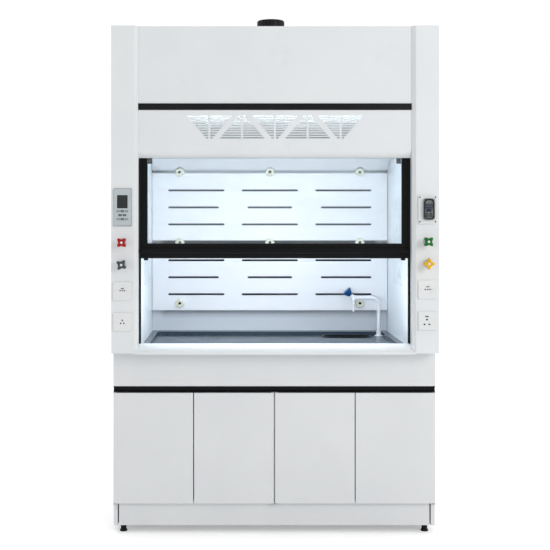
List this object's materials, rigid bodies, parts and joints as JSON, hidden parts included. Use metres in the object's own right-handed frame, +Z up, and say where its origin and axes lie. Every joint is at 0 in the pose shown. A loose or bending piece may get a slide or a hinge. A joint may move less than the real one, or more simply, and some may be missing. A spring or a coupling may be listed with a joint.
{
  "type": "fume hood",
  "caption": "Ducted fume hood with a counterbalanced vertical glass sash, slotted baffles, service valves, swivel tap and cup sink on a four-door base cupboard.",
  "frame": {"origin": "on the floor, at the middle of the overall box", "axes": "+Z up, front with the sash towards -Y, +X to the user's right"},
  "size_m": [1.5, 0.905, 2.479],
  "materials": {
    "powder_coat": "smooth gloss powder coat",
    "coated_board": "light grey laminated board",
    "worktop": "satin blue-grey resin",
    "liner": "satin white lining",
    "white_pp": "moulded polypropylene",
    "black_plastic": "satin moulded",
    "black_aluminium": "black anodised",
    "clear_glass": "clear toughened",
    "lamp_glass": "frosted",
    "steel": "brushed",
    "valve_brass": "grey chemical-resistant coat",
    "bezel": "satin grey",
    "screen": "gloss",
    "key": "rubbery",
    "white_plastic": "gloss",
    "smoked_plastic": "clear smoked",
    "toggle": "satin",
    "knob_red": "gloss",
    "knob_grey": "gloss",
    "knob_green": "gloss",
    "knob_yellow": "gloss",
    "knob_blue": "gloss"
  },
  "bodies": {
    "cabinet": {"base_carcass": "coated_board", "kick_plate": "coated_board", "fascia_panel": "coated_board", "pull_rail": "black_aluminium", "door_pivots": "steel", "levelling_legs": "black_plastic", "worktop": "worktop", "cup_sink": "black_plastic", "post_left": "powder_coat", "post_right": "powder_coat", "outer_panels": "powder_coat", "chamber_walls": "liner", "access_covers": "liner", "ceiling_liner": "powder_coat", "lamp_window": "lamp_glass", "exhaust_collar": "black_plastic", "header_upper": "powder_coat", "header_trim": "black_plastic", "header_lower": "powder_coat", "sill": "powder_coat", "sash_tracks": "black_plastic", "pulley_brackets": "steel", "sash_cables_top": "steel", "baffle_upper": "white_pp", "baffle_lower": "white_pp", "baffle_top": "white_pp", "baffle_knobs": "white_pp", "controller_bezel": "bezel", "controller_screen": "screen", "breaker_box": "white_plastic", "socket_outlets": "white_plastic", "valve_bodies": "valve_brass", "tap_base": "white_pp"},
    "sash": {"sash_frame": "black_aluminium", "sash_glass": "clear_glass", "sash_cables_front": "steel"},
    "counterweight": {"counterweight": "steel", "sash_cables_rear": "steel"},
    "front_pulleys": {"front_pulleys": "steel"},
    "rear_pulleys": {"rear_pulleys": "steel"},
    "door_1": {"door_1": "coated_board"},
    "door_2": {"door_2": "coated_board"},
    "door_3": {"door_3": "coated_board"},
    "door_4": {"door_4": "coated_board"},
    "valve_red": {"valve_knob_red": "knob_red"},
    "valve_grey": {"valve_knob_grey": "knob_grey"},
    "valve_green": {"valve_knob_green": "knob_green"},
    "valve_yellow": {"valve_knob_yellow": "knob_yellow"},
    "tap_neck": {"tap_neck": "white_pp"},
    "tap_handle": {"tap_handle": "knob_blue"},
    "breaker_cover": {"breaker_cover": "smoked_plastic"},
    "breaker_toggle": {"breaker_toggle": "toggle"},
    "key_1": {"controller_key_1": "key"},
    "key_2": {"controller_key_2": "key"},
    "key_3": {"controller_key_3": "key"},
    "key_4": {"controller_key_4": "key"},
    "key_5": {"controller_key_5": "key"},
    "key_6": {"controller_key_6": "key"},
    "key_7": {"controller_key_7": "key"},
    "key_8": {"controller_key_8": "key"}
  },
  "joints": [
    {"name": "sash_slide", "type": "slide", "parent": "cabinet", "child": "sash", "axis": [0, 0, 1], "range_m": [-0.385, 0.14], "deforming": ["sash_cables_front"]},
    {"name": "counterweight_slide", "type": "slide", "parent": "cabinet", "child": "counterweight", "axis": [0, 0, 1], "range_m": [-0.14, 0.385], "deforming": ["sash_cables_rear"]},
    {"name": "front_pulley_spin", "type": "hinge", "parent": "cabinet", "child": "front_pulleys", "pos_m": [0, -0.2875, 2.3], "axis": [1, 0, 0], "range_deg": [-366, 1004]},
    {"name": "rear_pulley_spin", "type": "hinge", "parent": "cabinet", "child": "rear_pulleys", "pos_m": [0, 0.4125, 2.3], "axis": [1, 0, 0], "range_deg": [-366, 1004]},
    {"name": "door_1_hinge", "type": "hinge", "parent": "cabinet", "child": "door_1", "pos_m": [-0.744, -0.3035, 0.4], "axis": [0, 0, -1], "range_deg": [0, 105]},
    {"name": "door_2_hinge", "type": "hinge", "parent": "cabinet", "child": "door_2", "pos_m": [-0.00825, -0.3035, 0.4], "axis": [0, 0, 1], "range_deg": [0, 90]},
    {"name": "door_3_hinge", "type": "hinge", "parent": "cabinet", "child": "door_3", "pos_m": [0.00825, -0.3035, 0.4], "axis": [0, 0, -1], "range_deg": [0, 90]},
    {"name": "door_4_hinge", "type": "hinge", "parent": "cabinet", "child": "door_4", "pos_m": [0.744, -0.3035, 0.4], "axis": [0, 0, 1], "range_deg": [0, 105]},
    {"name": "valve_red_turn", "type": "hinge", "parent": "cabinet", "child": "valve_red", "pos_m": [-0.6975, -0.4405, 1.3573], "axis": [0, 1, 0], "range_deg": [0, 360]},
    {"name": "valve_grey_turn", "type": "hinge", "parent": "cabinet", "child": "valve_grey", "pos_m": [-0.6985, -0.4405, 1.2562], "axis": [0, 1, 0], "range_deg": [0, 360]},
    {"name": "valve_green_turn", "type": "hinge", "parent": "cabinet", "child": "valve_green", "pos_m": [0.694, -0.4405, 1.3614], "axis": [0, 1, 0], "range_deg": [0, 360]},
    {"name": "valve_yellow_turn", "type": "hinge", "parent": "cabinet", "child": "valve_yellow", "pos_m": [0.696, -0.4405, 1.2612], "axis": [0, 1, 0], "range_deg": [0, 360]},
    {"name": "tap_swivel", "type": "hinge", "parent": "cabinet", "child": "tap_neck", "pos_m": [0.565, 0.2835, 0.9], "axis": [0, 0, 1], "range_deg": [-5, 90]},
    {"name": "tap_handle_turn", "type": "hinge", "parent": "tap_neck", "child": "tap_handle", "pos_m": [0.434, 0.2835, 1.055], "axis": [-0.7071, 0, 0.7071], "range_deg": [0, 270]},
    {"name": "breaker_cover_hinge", "type": "hinge", "parent": "cabinet", "child": "breaker_cover", "pos_m": [0.7005, -0.4115, 1.555], "axis": [-1, 0, 0], "range_deg": [0, 95]},
    {"name": "breaker_toggle_throw", "type": "hinge", "parent": "cabinet", "child": "breaker_toggle", "pos_m": [0.7005, -0.4095, 1.504], "axis": [1, 0, 0], "range_deg": [0, 40]},
    {"name": "key_1_press", "type": "slide", "parent": "cabinet", "child": "key_1", "axis": [0, 1, 0], "range_m": [0, 0.001], "stiffness_N_per_m": 300},
    {"name": "key_2_press", "type": "slide", "parent": "cabinet", "child": "key_2", "axis": [0, 1, 0], "range_m": [0, 0.001], "stiffness_N_per_m": 300},
    {"name": "key_3_press", "type": "slide", "parent": "cabinet", "child": "key_3", "axis": [0, 1, 0], "range_m": [0, 0.001], "stiffness_N_per_m": 300},
    {"name": "key_4_press", "type": "slide", "parent": "cabinet", "child": "key_4", "axis": [0, 1, 0], "range_m": [0, 0.001], "stiffness_N_per_m": 300},
    {"name": "key_5_press", "type": "slide", "parent": "cabinet", "child": "key_5", "axis": [0, 1, 0], "range_m": [0, 0.001], "stiffness_N_per_m": 300},
    {"name": "key_6_press", "type": "slide", "parent": "cabinet", "child": "key_6", "axis": [0, 1, 0], "range_m": [0, 0.001], "stiffness_N_per_m": 300},
    {"name": "key_7_press", "type": "slide", "parent": "cabinet", "child": "key_7", "axis": [0, 1, 0], "range_m": [0, 0.001], "stiffness_N_per_m": 300},
    {"name": "key_8_press", "type": "slide", "parent": "cabinet", "child": "key_8", "axis": [0, 1, 0], "range_m": [0, 0.001], "stiffness_N_per_m": 300}
  ],
  "couplings": [
    {"joint": "counterweight_slide", "follows": "sash_slide", "ratio": -1},
    {"joint": "front_pulley_spin", "follows": "sash_slide", "rad_per_m": -45.455},
    {"joint": "rear_pulley_spin", "follows": "sash_slide", "rad_per_m": -45.455}
  ]
}
